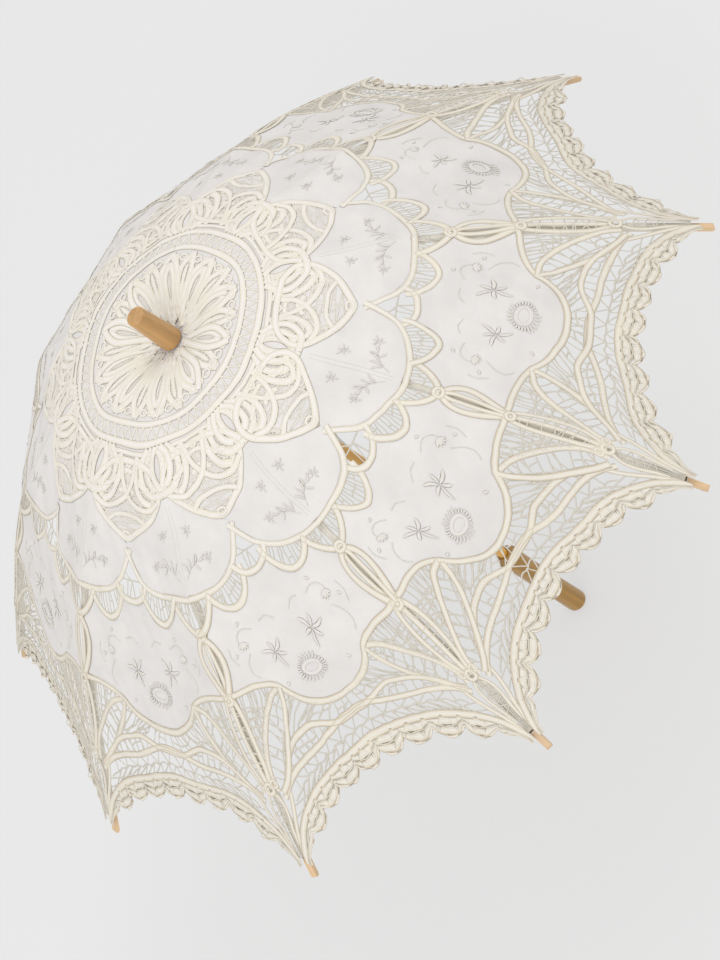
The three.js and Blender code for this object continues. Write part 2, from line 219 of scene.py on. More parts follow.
# ---- drawing in plan ----
def spline(points, step=1.5, closed=False):
    """A smooth line through the points, in even steps."""
    p = np.array(points, float)
    if closed:
        p = np.concatenate([p[-1:], p, p[:2]])
    elif len(p) == 2:
        count = max(2, int(np.linalg.norm(p[1] - p[0]) / step) + 1)
        return p[0] + (p[1] - p[0]) * np.linspace(0, 1, count)[:, None]
    else:
        p = np.concatenate([2 * p[:1] - p[1:2], p, 2 * p[-1:] - p[-2:-1]])
    t = np.linspace(0, 1, SPLINE_STEPS, endpoint=False)[:, None]
    found = []
    for a, b, c, d in zip(p, p[1:], p[2:], p[3:]):
        bend = (2 * a - 5 * b + 4 * c - d) * t**2
        twist = (3 * b - a - 3 * c + d) * t**3
        found.append(0.5 * (2 * b + (c - a) * t + bend + twist))
    line = np.concatenate([*found, p[-2:-1]])
    return evened(line, step)


def evened(line, step):
    far = np.concatenate([[0], np.cumsum(np.linalg.norm(np.diff(line, axis=0), axis=1))])
    count = max(2, int(far[-1] / step) + 1)
    at = np.linspace(0, far[-1], count)
    return np.stack([np.interp(at, far, line[:, 0]), np.interp(at, far, line[:, 1])], -1)


def at(line, share):
    """The point at a share of the way along an even line."""
    where = np.clip(share, 0, 1) * (len(line) - 1)
    i = int(min(where, len(line) - 2))
    return line[i] + (line[i + 1] - line[i]) * (where - i)


def mirrored(points):
    return np.array(points, float) * [-1, 1]


def whole(points):
    """A line drawn from the middle to one side, joined to its mirror image."""
    p = np.array(points, float)
    return np.concatenate([mirrored(p)[::-1], p[1:] if abs(p[0][0]) < 1e-6 else p])


def placed(points, azimuth):
    """Local (across, outwards) points, turned to where outwards points along the azimuth."""
    c, s = math.cos(azimuth), math.sin(azimuth)
    across, out = points[..., 0], points[..., 1]
    return np.stack([out * c - across * s, out * s + across * c], -1)


def rib_to_gore(points):
    """From (across, along the rib) to (across, outwards) in the gore to the rib's left."""
    p = np.array(points, float)
    t, x = p[:, 0], p[:, 1]
    across = x * math.sin(HALF) + t * math.cos(HALF)
    outwards = x * math.cos(HALF) - t * math.sin(HALF)
    return np.stack([across, outwards], -1)


def offset(line, distance):
    run = np.gradient(line, axis=0)
    run /= np.linalg.norm(run, axis=1, keepdims=True)
    return line + np.stack([-run[:, 1], run[:, 0]], -1) * np.asarray(distance)[..., None]


# ---- the lace pattern: one gore, and what sits on a rib ----
# Gore points are (across, outwards from the shaft) about a gore's middle.
# Rib points are the same about a rib.
LOBE_TAPE = [(0, 304), (10, 303.2), (20, 300.2), (31, 294.7), (38.5, 288.5), (43.5, 282.5)]
SHOULDER_TAPE = [(43.5, 282.5), (50, 279), (60, 276), (70, 274.4), (80, 273.8), (87.5, 272)]
ARCH_TAPE = [
    (0, 316.6), (12, 316.2), (20, 314.5), (29, 311), (38, 308.8), (50, 310.2), (60, 312.6),
    (70, 317), (79, 322.8), (88, 328.8), (97, 334),
]
LOW_ARCH_TAPE = [
    (0, 315.2), (14, 315.6), (24, 317.4), (40, 320.2), (58, 323), (74, 326.3), (88, 330.8),
    (99, 336.5),
]
STEEP_TAPE = [(43.5, 284), (49, 294), (57, 304), (66, 313), (76, 321.5), (87, 328.5), (97, 333)]
LOOSE_TAPE = [
    (44, 283), (55, 285.5), (65, 291.5), (75, 299.5), (84, 307.5), (92, 315.5), (97, 322),
    (100.5, 331),
]
BORDER_TAPE = [
    (0, 332.6), (15, 332.9), (30, 333.8), (45, 335.6), (60, 338.6), (72, 341.8), (84, 346.5),
    (94, 351.5), (103, 357.5), (110, 364), (116, 370.8), (118.6, 375.5),
]
CORNER_TAPE = [(90, 331), (95, 339), (101.5, 348), (108.5, 357), (114.5, 366.5), (117.6, 374)]
PETAL_TAPE = [
    (-2.5, 179), (1, 184.5), (5.5, 191.5), (11, 198.6), (18, 203.8), (27, 207.4), (38, 209.6),
    (50, 210.4), (60, 210.2), (68.6, 209.0),
]
SIDE_LOOP = [
    (11.5, 205), (14, 213), (19.5, 220.6), (26, 225.8), (33.5, 227.4), (41, 224), (47, 218),
    (51, 211),
]
CUSP_LOOP = [(0, 215.2), (8, 213.8), (14, 210), (17.5, 204)]
RIB_LOOP = [(49, 212), (54.5, 219.5), (62, 225.8), (69.5, 229.3), (74.4, 229.0)]
ROSE_PETAL = [
    (0, 171.2), (8, 168), (16, 163.3), (24, 157.5), (31, 149.8), (36.5, 141), (38.5, 133),
    (36, 124), (28, 116.5), (16, 112.8), (0, 112),
]
ROSE_CROSS = [(36, 140), (26, 145.6), (15, 145), (4, 139), (-5, 128), (-9, 114)]
ROSE_HOOD = [(22, 158), (12, 153), (0, 151.5)]

LEAF_OUTER = [(1.5, 243.5), (7, 248.5), (9.8, 256), (9.2, 265), (6.2, 275), (2.5, 284), (1, 288)]
LEAF_INNER = [(0.9, 244), (2.6, 250), (3.0, 258), (2.8, 268), (2.0, 278), (0.9, 287)]
RIB_PAIR = [(1.5, 284), (5.2, 293), (7.3, 304), (7.6, 316), (6.4, 328), (3.6, 338), (1.8, 344)]
RIB_FOOT = [(2.4, 347), (5.6, 353), (6.2, 361), (4.4, 371), (3.0, 381)]
DENSE_PETALS = (
    [(0, 104), (4.5, 111), (6, 121), (3.4, 131), (0, 137)],
    [(4, 104), (10, 110), (13, 119), (11.5, 128), (6, 134.5)],
    [(9, 104), (16.5, 110), (20.5, 118), (19.5, 128), (13.5, 136.5), (6, 139.5), (0, 140.5)],
    [(23, 106), (26.5, 116), (27.5, 127), (24, 137.5), (17, 143)],
)
CENTRE_PETAL = [(0, 13), (2.6, 22), (5.2, 33), (8.4, 46), (9.3, 57), (6, 68), (0, 77)]
CENTRE_PETAL_HEART = [(0, 18), (2.2, 30), (4.2, 43), (4.5, 54), (2.4, 63), (0, 68)]
SMALL_PETAL = [(0, 20), (2.2, 34), (5.2, 48), (6.2, 60), (3.6, 70), (0, 78)]

LINEN_PANEL = [
    (0, 217), (8, 215.8), (12.5, 215.5), (17, 222.6), (23.5, 228.2), (33.5, 230),
    (41.5, 226.6), (46.5, 222), (50.2, 217.5), (54, 221.6), (61, 227.6), (67, 231.2),
]
LINEN_PANEL_LEAF = [
    (-3, 246.5), (-8.2, 251), (-10.6, 257), (-10, 265), (-7, 275), (-4.5, 282), (-4, 285.5),
]
LINEN_PANEL_FOOT = [
    (78, 271.6), (69, 272.2), (59.5, 273.8), (49, 277), (42.3, 281.5), (37, 287.2),
    (30, 292.8), (20, 298), (10, 301), (0, 301.8),
]
LINEN_PETAL = [
    (0, 140.8), (5, 144), (15, 152), (24, 157.6), (33, 161.5), (44, 164.6), (54.3, 167.2),
]
LINEN_PETAL_END = [
    (57.6, 177.3), (55.4, 181.6), (50.5, 189.4), (43.6, 197.4), (35.2, 204.4), (22, 212),
    (8, 216.2), (0, 217),
]

TAPE_SECTION = ((-1, 0.04), (-0.84, 0.27), (0, 0.20), (0.84, 0.27), (1, 0.04), (0.7, -0.12))
TAPE_SECTION += ((-0.7, -0.12),)
SATIN_SECTION = ((-1, 0.1), (-0.5, 0.8), (0, 0.95), (0.5, 0.8), (1, 0.1), (0, -0.2))
ROUND_SECTION = ((-1, 0.0), (0, 1.0), (1, 0.0), (0, -1.0))

# Places in the list of finishes that each piece of lace carries.
TAPE, THREAD, SATIN, PALE_THREAD = range(4)


class Strand:
    """One length of tape or thread in plan, with its half width, level and section."""

    def __init__(self, line, half, level, finish, section=TAPE_SECTION, lift=1.0, tilt=0.0):
        self.line = line
        self.half = np.broadcast_to(np.asarray(half, float), len(line))
        self.level = np.broadcast_to(np.asarray(level, float), len(line))
        self.finish = finish
        self.section = np.array(section)
        self.lift = lift
        self.tilt = np.broadcast_to(np.asarray(tilt, float), len(line))


class Pattern:
    """Collects the strands of every gore."""

    def __init__(self, cloth):
        self.cloth = cloth
        self.tape_half = cloth.tape_width / MM / 2
        self.thread_half = cloth.thread_width / MM / 2
        self.rng = np.random.default_rng(11)
        self.strands = []
        self.azimuth = 0.0
        self.layer = 0

    def tape(
        self, points, width=1.0, level=0.75, closed=False, step=1.5, taper=(1.0, 1.0), finish=TAPE
    ):
        line = spline(points, step, closed)
        self.layer = (self.layer + 1) % 5
        rise = np.linspace(0, len(line) * step / TAPER_LENGTH, len(line))
        fall = np.linspace(len(line) * step / TAPER_LENGTH, 0, len(line))
        ends = np.minimum(1, rise + taper[0])
        ends = ends * np.minimum(1, fall + taper[1])
        half = self.tape_half * width * ends
        level = 0.2 + 0.45 * level + 0.06 * self.layer
        self.strands.append(Strand(placed(line, self.azimuth), half, level, finish))
        return line

    def tapes(self, points, *width, **more):
        """A tape, then its mirror image."""
        return [self.tape(side, *width, **more) for side in both_sides(points)]

    def thread(self, points, width=1.0, level=0.45, sag=0.0, finish=THREAD):
        if sag:
            a, b = np.array(points[0], float), np.array(points[-1], float)
            run = b - a
            bow = np.array([-run[1], run[0]]) * sag
            points = [a, (a + b) / 2 + bow, b]
        line = spline(points, THREAD_STEP)
        half = self.thread_half * width
        if finish == THREAD and np.hypot(*line.mean(0)) < INNER_THREAD_RADIUS:
            finish = PALE_THREAD
        plan = placed(line, self.azimuth)
        self.strands.append(Strand(plan, half, level, finish, ROUND_SECTION, half))

    def rungs(self, first, second, count, low=0.05, high=0.95, loose=0.25, forked=0.0):
        """A net between two lines: knots tied to both, some with two legs or to the last knot."""
        pitch = (high - low) / count
        last = None
        for i in range(count):
            share = low + pitch * (i + 0.5)
            jitter = self.rng.uniform(-loose, loose, 2) * pitch
            a, b = at(first, share + jitter[0]), at(second, share + jitter[1])
            knot = a + (b - a) * self.rng.uniform(0.35, 0.65)
            if np.linalg.norm(b - a) < 4:
                self.thread([a, b])
                last = None
                continue
            ends = [a] if self.rng.random() > forked else [a, at(first, share + 0.55 * pitch)]
            ends += [b] if self.rng.random() > forked else [b, at(second, share - 0.55 * pitch)]
            if last is not None and self.rng.random() < 0.55:
                ends.append(last)
            for end in ends:
                self.thread([end, knot], sag=self.rng.uniform(-0.1, 0.1))
            last = knot

    def zigzag(self, first, second, count, low=0.0, high=1.0, width=1.0):
        points = []
        for i in range(count + 1):
            share = low + (high - low) * i / count
            points.append(at(first if i % 2 else second, share))
        for a, b in zip(points, points[1:]):
            self.thread([a, b], width=width)

    def ring(self, centre, radius, width, stretch=1.0, level=1.0, finish=TAPE):
        turn = np.linspace(0, 2 * math.pi, 10, endpoint=False)
        across = centre[0] + radius * stretch * np.cos(turn)
        points = np.stack([across, centre[1] + radius * np.sin(turn)], -1)
        self.tape(points, width, level, closed=True, step=0.9, finish=finish)


def both_sides(points):
    return (np.array(points, float), mirrored(points))


def flips():
    """The right side, then the left, as factors for (across, outwards) points."""
    return (np.array([1, 1.0]), np.array([-1, 1.0]))


def draw_skirt(p):
    """The outer lace of one gore: arches, loops, joining threads and border."""
    lobe = p.tape(whole(LOBE_TAPE), 0.9)
    arch = p.tape(whole(ARCH_TAPE), 0.78, level=0.95)
    low_arch = p.tape(whole(LOW_ARCH_TAPE), 0.78, level=0.8)
    border = p.tape(whole(BORDER_TAPE), 0.95, level=0.8, taper=(0.35, 0.35))
    p.rungs(lobe, arch, 22, 0.02, 0.98, forked=0.4)
    middle = spline(whole([(0, 325), (20, 325.4), (45, 328), (70, 333), (92, 341)]), 2)
    wavy = middle.copy()
    wavy[:, 1] += 0.9 * np.sin(np.arange(len(middle)) * 1.1)
    p.thread(wavy[::3])
    p.zigzag(low_arch, middle, 22, 0.06, 0.94)
    p.zigzag(middle, border, 34, 0.06, 0.94)
    for flip in flips():
        side = int(flip[0])
        shoulder = p.tape(np.array(SHOULDER_TAPE) * flip, 0.85)
        steep = p.tape(np.array(STEEP_TAPE) * flip, 0.82, level=0.9)
        loose = p.tape(np.array(LOOSE_TAPE) * flip, 0.82, level=0.7)
        corner = p.tape(np.array(CORNER_TAPE) * flip, 0.62, taper=(1.0, 0.4))
        p.rungs(steep, loose, 9, 0.06, 0.92, forked=0.6)
        p.rungs(shoulder, loose, 8, 0.08, 0.8, forked=0.7)
        outer_half = arch[len(arch) // 2 :: side]
        p.rungs(outer_half, low_arch[len(low_arch) // 2 :: side], 10, 0.2, 0.9, forked=0.4)
        pair = rib_to_gore(mirrored(RIB_PAIR)) * flip
        p.rungs(loose, spline(pair, 2), 8, 0.2, 0.92, forked=0.7)
        p.zigzag(corner, border[len(border) // 2 :: side], 9, 0.2, 0.95, width=0.8)
        p.thread([at(steep, 0.1), at(lobe, 0.5 + side * 0.36)], sag=0.1)
    draw_trim(p, border)


def draw_trim(p, border):
    """The ruffled scalloped edging, sewn along the border tape."""
    line = evened(border, 0.9)
    far = np.arange(len(line)) * 0.9
    fade = smooth(3, 40, np.minimum(far, far[-1] - far))
    shell = np.abs(np.sin(math.pi * far / far[-1] * 10)) ** 0.6
    wave = np.sin(far * 2 * math.pi / 12.7 + 1.6 * np.sin(far / 19))
    wave = wave + 0.5 * np.sin(far * 2 * math.pi / 7.1)
    reach = 2.4 + (2.6 + 7.6 * shell) * fade
    sway = wave * fade

    def along(distance, half, level, finish, **shape):
        plan = placed(offset(line, SEAM + distance), p.azimuth)
        p.strands.append(Strand(plan, half, level, finish, **shape))

    for where, wide, rise, tilt in ((0.28, 0.42, 0.4, 0.4), (0.72, 0.40, 0.6, 0.9)):
        level = rise + 0.7 * wave * where * fade
        along(reach * where, reach * wide * 0.62 + 0.3, level, TAPE, tilt=tilt * sway)
    along(reach, 0.55 + 0.35 * fade, 0.7 + 1.4 * sway, TAPE)
    along(reach * 0.5, 0.45, 1.0 + 0.7 * sway, THREAD, section=ROUND_SECTION, lift=0.5)
    p.zigzag(offset(line, 2.0)[::3], offset(line, reach)[::3], 64, 0.06, 0.94, width=0.7)


def draw_middle(p):
    """The band of loops and the petals' edging in one gore."""
    for flip in flips():
        edging = p.tape(np.array(PETAL_TAPE) * flip, 0.85)
        loop = p.tape(np.array(SIDE_LOOP) * flip, 0.95, level=0.9)
        rib_loop = p.tape(np.array(RIB_LOOP) * flip, 0.95, level=0.8)
        behind_loop = edging[int(len(edging) * 0.34) : int(len(edging) * 0.78)]
        p.rungs(behind_loop, loop, 11, 0.1, 0.92, forked=0.1)
        p.rungs(edging[int(len(edging) * 0.76) :], rib_loop, 6, 0.15, 0.98, forked=0.2)
    p.tape(whole(CUSP_LOOP), 0.95, level=0.85)
    p.thread([(-11.5, 200.2), (11, 201)])
    p.thread([(-4, 201), (-6, 213)])
    p.thread([(1, 201), (3, 213.5)], width=1.2)
    p.thread([(1, 201), (-3.5, 213)])
    p.thread([(-7, 193), (0, 200.6)], sag=0.1)
    p.ring((0, 168.4), 2.6, 0.42, 1.5)


def draw_rosette(p):
    """The web-filled petal at the middle of one gore."""
    petal = p.tape(whole(ROSE_PETAL[:-1]), 1.05)
    p.tape(whole([ROSE_PETAL[-1], *ROSE_PETAL[-2:-5:-1]]), 1.0, level=0.9)
    crosses = p.tapes(ROSE_CROSS, 0.95, level=0.95)
    p.tape(whole(ROSE_HOOD[::-1]), 0.8, level=0.7)
    right = petal[len(petal) // 2 :]
    left = petal[: len(petal) // 2][::-1]
    for half, cross in ((right, crosses[0]), (left, crosses[1])):
        p.rungs(half, cross, 9, 0.12, 0.7, forked=0.4)
    p.thread([(-27, 155), (-13, 153), (0, 160.5)])
    p.thread([(27, 152), (12, 152.5), (0, 160.5)])
    p.thread([(0, 160.5), (1, 168)])
    p.zigzag(left, right, 13, 0.1, 0.8, width=0.9)
    for x in (-18, -9, 0, 9, 18):
        p.thread([(x, 114), (x * 0.8, 127)], sag=p.rng.uniform(-0.1, 0.1))
    low = spline([(-22, 117), (0, 115.5), (22, 117)])
    p.zigzag(low, spline([(-20, 126), (0, 125), (20, 126)]), 14)
    p.tapes([(24, 118), (30, 127), (31, 136), (26, 141)], 0.95, level=0.6)
    p.tapes([(8, 118), (13, 124), (20, 128), (27, 130)], 0.85, level=0.6)
    p.tape([(-12, 121), (0, 118.5), (12, 121)], 0.75, level=0.5)
    p.tape([(-9, 134), (0, 129.5), (9, 134)], 0.8, level=0.5)
    low = spline([(-34, 134), (0, 139), (34, 134)])
    p.zigzag(low, spline([(-34, 146), (0, 150), (34, 146)]), 15, width=0.9)


def draw_centre(p):
    """Small tape petals round the ferrule, on the gore's middle."""
    p.tapes(SMALL_PETAL, 1.2, level=0.6, taper=(0.4, 1.0))
    p.tape([(0, 24), (0, 44), (0, 66)], 0.8, level=0.35, taper=(0.3, 0.6))
    p.rungs(spline(SMALL_PETAL, 2), spline(mirrored(SMALL_PETAL), 2), 8, 0.3, 0.95)


def draw_rings(p):
    """The circular tapes, one gore's share of each."""
    turn = np.linspace(-HALF, HALF, 9)

    def arc(radius, wave=0.0):
        r = radius + wave * np.cos(turn * 10)
        return np.stack([r * np.sin(turn), r * np.cos(turn)], -1)

    p.tape(arc(83.5), 1.15, level=0.7)
    p.tape(arc(100.2), 1.15, level=0.75)
    p.tape(arc(107.2, -0.5), 0.7, level=0.6)
    p.zigzag(spline(arc(86)), spline(arc(97.5)), 12, width=1.9)
    for radius, count, size in ((72.5, 5, 3.0), (113.2, 5, 2.6)):
        for i in range(count):
            a = -HALF + 2 * HALF * (i + 0.5) / count
            p.ring((radius * math.sin(a), radius * math.cos(a)), size, 0.4, 1.2, level=0.9)


def draw_on_rib(p):
    """What is sewn along one rib: leaf, pair of tapes, knot, foot and the dense petals."""
    p.tapes(LEAF_OUTER, 1.05, level=0.8)
    p.tapes(LEAF_INNER, 0.72, level=0.8)
    pairs = p.tapes(RIB_PAIR, 0.82, level=0.85)
    p.rungs(pairs[0], pairs[1], 7, 0.12, 0.85, loose=0.4, forked=0.3)
    p.tape([(0, 286), (0.4, 312), (0, 342)], 0.9, level=0.3)
    feet = p.tapes(RIB_FOOT, 0.55, level=0.6, taper=(1.0, 0.4))
    p.zigzag(feet[0], feet[1], 8, 0.0, 0.8, width=0.8)
    p.ring((0, 344), 3.4, 0.55, level=1.3)
    p.ring((-5.5, 340), 2.4, 0.42, level=1.0)
    p.ring((5.8, 341), 2.4, 0.42, level=1.0)
    p.ring((0, 241.5), 3.0, 0.6, 1.3, level=1.1)
    p.ring((0, 288.5), 2.6, 0.6, 1.2, level=1.2)
    for points in DENSE_PETALS:
        p.tapes(points, 1.2, level=0.7)
    p.tapes(CENTRE_PETAL, 1.3, level=0.8, taper=(0.35, 1.0))
    p.tapes(CENTRE_PETAL_HEART, 1.0, level=0.5, taper=(0.4, 1.0))
    p.thread([(0, 22), (0, 66)], width=1.4, finish=TAPE)
    for t in (-6.2, -4.4, -2.2, 0.0, 2.2, 4.4, 6.2):
        start = (t * 1.7, 352 + 2.2 * abs(t) + p.rng.uniform(-4, 4))
        p.thread([start, (t * 1.1, 371), (t * 0.42, 389.0)], width=0.85, level=0.2)


def draw_needlework(p, lean):
    """Raised embroidery on a gore's linen: an eyelet, two flowers, scrolls and dots."""
    centre = np.array([lean, 278.6])
    p.ring(centre, 4.6, 0.5, 1.75, level=0.45, finish=SATIN)
    turn = np.linspace(0, 2 * math.pi, 26, endpoint=False)
    for a in turn:
        way = np.array([1.6 * math.cos(a), math.sin(a)])
        reach = 8.6 + 1.9 * (int(a * 9) % 2)
        satin(p, centre + way * 6.2, centre + way * reach, 2.0)
    flower(p, centre + [-20.5, -16.6], 11.5, 0.3)
    flower(p, centre + [21.0, -18.8], 11.5, 0.9)
    for flip in flips():
        side = flip[0]
        shift = np.array([lean * 0.5, 0])
        for line in (
            [(44, 256), (50, 261), (53, 268), (50, 273)],
            [(30, 243), (38, 240), (45, 243), (47, 250)],
            [(8, 244), (14, 240), (21, 241)],
            [(57, 246), (60, 252), (58, 259)],
        ):
            p.thread(np.array(line) * flip + shift, width=0.8, level=0.42, finish=SATIN)
        for dot in ((53, 252), (36, 235.5), (29, 283)):
            start = np.array(dot) * flip + shift
            satin(p, start, start + [3.4 * side, 1.5], 2.2)
        for i in range(5):
            a = 0.5 + 0.5 * i
            root = np.array([44.0, 247.0]) * flip + shift
            satin(p, root, root + np.array([math.cos(a) * side, math.sin(a)]) * 5.6, 2.6)


def draw_sprig(p):
    """A sprig and a sewn tuck on the linen petal over one rib."""
    for t in (-1.5, 1.5):
        p.thread([(t, 150), (t * 1.2, 180), (t, 211)], width=0.4, level=0.3, finish=SATIN)
    for flip in flips():
        side = flip[0]
        stem = np.array([(4, 207), (9, 199), (15, 194), (23, 192)]) * flip
        p.thread(stem, width=0.6, level=0.4, finish=SATIN)
        for root, way, far in (
            ((7, 202), (-0.5, -0.87), 8.5),
            ((8, 200.5), (0.05, -1.0), 9.5),
            ((11, 197), (0.45, -0.9), 9.0),
            ((15, 194), (0.2, -0.98), 6.5),
            ((18, 193), (0.8, -0.6), 6.0),
            ((14, 195), (0.75, 0.66), 6.0),
        ):
            root, way = np.array(root) * flip, np.array(way) * flip
            satin(p, root, root + way * far, 1.9, 0.08 * side)
        flower(p, np.array([27, 190]) * flip, 5.0, 0.4)
        flower(p, np.array([12, 171]) * flip, 5.5, 0.5)


def satin(p, a, b, wide, bow=0.0):
    """A raised satin stitch, widest in its middle."""
    a, b = np.array(a, float), np.array(b, float)
    run = b - a
    line = spline([a, (a + b) / 2 + np.array([-run[1], run[0]]) * bow, b], 0.9)
    share = np.linspace(0, 1, len(line))
    half = p.thread_half * wide * (0.25 + 0.75 * np.sin(math.pi * share) ** 0.6)
    p.strands.append(Strand(placed(line, p.azimuth), half, 0.36, SATIN, SATIN_SECTION, 0.8))


def flower(p, centre, size, turned):
    for i in range(6):
        a = turned + i * math.pi / 3
        way = np.array([math.cos(a), math.sin(a)])
        reach = size * (0.72 + 0.28 * (i % 2))
        satin(p, centre + way * 0.8, centre + way * reach, 0.25 * size, 0.08)


def drawn(cloth):
    """Every strand of the whole canopy."""
    leans = (-8.0, 3.0, -4.0, 5.0, -2.0, 4.0, -6.0, -9.0, 2.0, -3.0)
    p = Pattern(cloth)
    for i, lean in enumerate(leans):
        p.azimuth = 2 * HALF * (i + 0.5)
        draw_skirt(p)
        draw_middle(p)
        draw_rosette(p)
        draw_centre(p)
        draw_rings(p)
        draw_needlework(p, lean)
        p.azimuth = 2 * HALF * i
        draw_on_rib(p)
        draw_sprig(p)
    return p.strands


# ---- meshes ----
def facing(rings):
    """Outward directions of a strip's points, from its run and from its section."""
    run = np.gradient(rings, axis=0)
    around = np.roll(rings, -1, axis=1) - np.roll(rings, 1, axis=1)
    out = np.cross(run, around)
    return out / np.maximum(np.linalg.norm(out, axis=-1, keepdims=True), 1e-9)


class Bag:
    """Gathers closed strips into one mesh."""

    def __init__(self):
        self.points, self.normals, self.uv = [], [], []
        self.loops, self.starts, self.finishes = [], [], []
        self.count = 0
        self.corners = 0

    def strip(self, rings, normals, run, across, finish):
        n, k = rings.shape[:2]
        base = self.count
        self.points.append(rings.reshape(-1, 3))
        self.normals.append(normals.reshape(-1, 3))
        i, j = np.meshgrid(np.arange(n - 1), np.arange(k), indexing="ij")
        after = (j + 1) % k
        corners = [i * k + j, (i + 1) * k + j, (i + 1) * k + after, i * k + after]
        quads = base + np.stack(corners, -1).reshape(-1, 4)
        caps = base + np.stack([np.arange(k), (n - 1) * k + np.arange(k)[::-1]])
        loops = np.concatenate([quads.ravel(), caps.ravel()])
        self.loops.append(loops)
        sizes = np.concatenate([np.full(len(quads), 4), [k, k]])
        self.starts.append(self.corners + np.concatenate([[0], np.cumsum(sizes)[:-1]]))
        self.corners += len(loops)
        self.finishes.append(np.full(len(sizes), finish))
        table = np.stack([np.repeat(run, k), np.tile(across, n)], -1)
        self.uv.append(table[loops - base])
        self.count += n * k

    def mesh(self, name, finishes):
        made = made_mesh(
            name,
            np.concatenate(self.points) * MM,
            np.concatenate(self.loops),
            np.concatenate(self.starts),
            np.concatenate(self.uv),
            finishes,
            np.concatenate(self.finishes),
        )
        made.data.normals_split_custom_set_from_vertices(np.concatenate(self.normals).tolist())
        return made


def made_mesh(name, points, loops, starts, uv, finishes, which=None):
    mesh = bpy.data.meshes.new(name)
    mesh.vertices.add(len(points))
    mesh.vertices.foreach_set("co", points.astype(np.float32).ravel())
    mesh.loops.add(len(loops))
    mesh.loops.foreach_set("vertex_index", loops.astype(np.int32))
    mesh.polygons.add(len(starts))
    mesh.polygons.foreach_set("loop_start", starts.astype(np.int32))
    mesh.polygons.foreach_set("use_smooth", np.ones(len(starts), bool))
    if which is not None:
        mesh.polygons.foreach_set("material_index", which.astype(np.int32))
    mesh.update(calc_edges=True)
    layer = mesh.uv_layers.new(name="weave")
    layer.data.foreach_set("uv", uv.astype(np.float32).ravel())
    mesh.validate()
    for material in finishes:
        mesh.materials.append(material)
    made = bpy.data.objects.new(name, mesh)
    bpy.context.scene.collection.objects.link(made)
    return made


def sector_and_zone(plan):
    turn = np.arctan2(plan[:, 1], plan[:, 0])
    sector = np.round(turn / (2 * HALF)).astype(int) % SECTORS
    along = plan[:, 0] * np.cos(sector * 2 * HALF) + plan[:, 1] * np.sin(sector * 2 * HALF)
    zone = np.searchsorted([z[2] for z in ZONES[:-1]], along, side="right")
    return sector * len(ZONES) + zone


def bagged(strands, cloth):
    """The strands as rings of points, sorted by the sector and zone they ride with."""
    bags = {}
    for strand in strands:
        run = np.gradient(strand.line, axis=0)
        run /= np.maximum(np.linalg.norm(run, axis=1, keepdims=True), 1e-9)
        aside = np.stack([-run[:, 1], run[:, 0]], -1)
        v, h = strand.section[:, 0], strand.section[:, 1]
        plan = strand.line[:, None] + aside[:, None] * (strand.half[:, None] * v)[..., None]
        level = strand.level[:, None] + strand.lift * h[None, :] + strand.tilt[:, None] * v[None, :]
        rings, _ = lifted(plan, level, cloth)
        normals = facing(rings)
        steps = np.linalg.norm(np.diff(strand.line, axis=0), axis=1)
        far = np.concatenate([[0], np.cumsum(steps)])
        keys = sector_and_zone((strand.line[1:] + strand.line[:-1]) / 2)
        edges = [0, *(np.flatnonzero(np.diff(keys)) + 1), len(keys)]
        for a, b in zip(edges, edges[1:]):
            bag = bags.setdefault(int(keys[a]), Bag())
            bag.strip(rings[a : b + 1], normals[a : b + 1], far[a : b + 1], v, strand.finish)
    return bags


def inside(points, outline):
    x, y = points[:, 0][:, None], points[:, 1][:, None]
    a, b = outline, np.roll(outline, -1, axis=0)
    crosses = (a[:, 1] > y) != (b[:, 1] > y)
    drop = np.where(np.abs(b[:, 1] - a[:, 1]) < 1e-12, 1e-12, b[:, 1] - a[:, 1])
    left = x < (b[:, 0] - a[:, 0]) * (y - a[:, 1]) / drop + a[:, 0]
    return (crosses & left).sum(1) % 2 == 1


def cut_cloth(outline, spacing, cuts=()):
    """Plan points and triangles that fill an outline, with straight edges along the cuts."""
    outline = outline[np.linalg.norm(outline - np.roll(outline, 1, axis=0), axis=1) > 1e-3]
    low, high = outline.min(0), outline.max(0)
    gx, gy = np.meshgrid(np.arange(low[0], high[0], spacing), np.arange(low[1], high[1], spacing))
    grid = np.stack([gx.ravel(), gy.ravel()], -1)
    grid[:, 0] += (np.arange(len(grid)) // gx.shape[1] % 2) * spacing / 2
    away = np.linalg.norm(grid[:, None] - outline[None], axis=2).min(1) > 0.55 * spacing
    for cut in cuts:
        away &= np.abs(grid[:, 1] - cut) > 0.45 * spacing
    grid = grid[away & inside(grid, outline)]
    points = [*outline, *grid]
    edges = [(i, (i + 1) % len(outline)) for i in range(len(outline))]
    for cut in cuts:
        row = np.arange(low[0] - 2, high[0] + 2 + spacing, spacing)
        first = len(points)
        points.extend(np.array([x, cut]) for x in row)
        edges.extend((first + i, first + i + 1) for i in range(len(row) - 1))
    found = delaunay_2d_cdt([Vector(q) for q in points], edges, [], 0, 1e-4)
    flat = np.array([tuple(v) for v in found[0]])
    triangles = np.array([f for f in found[2] if len(f) == 3])
    middle = flat[triangles].mean(1)
    return flat, triangles[inside(middle, outline)]


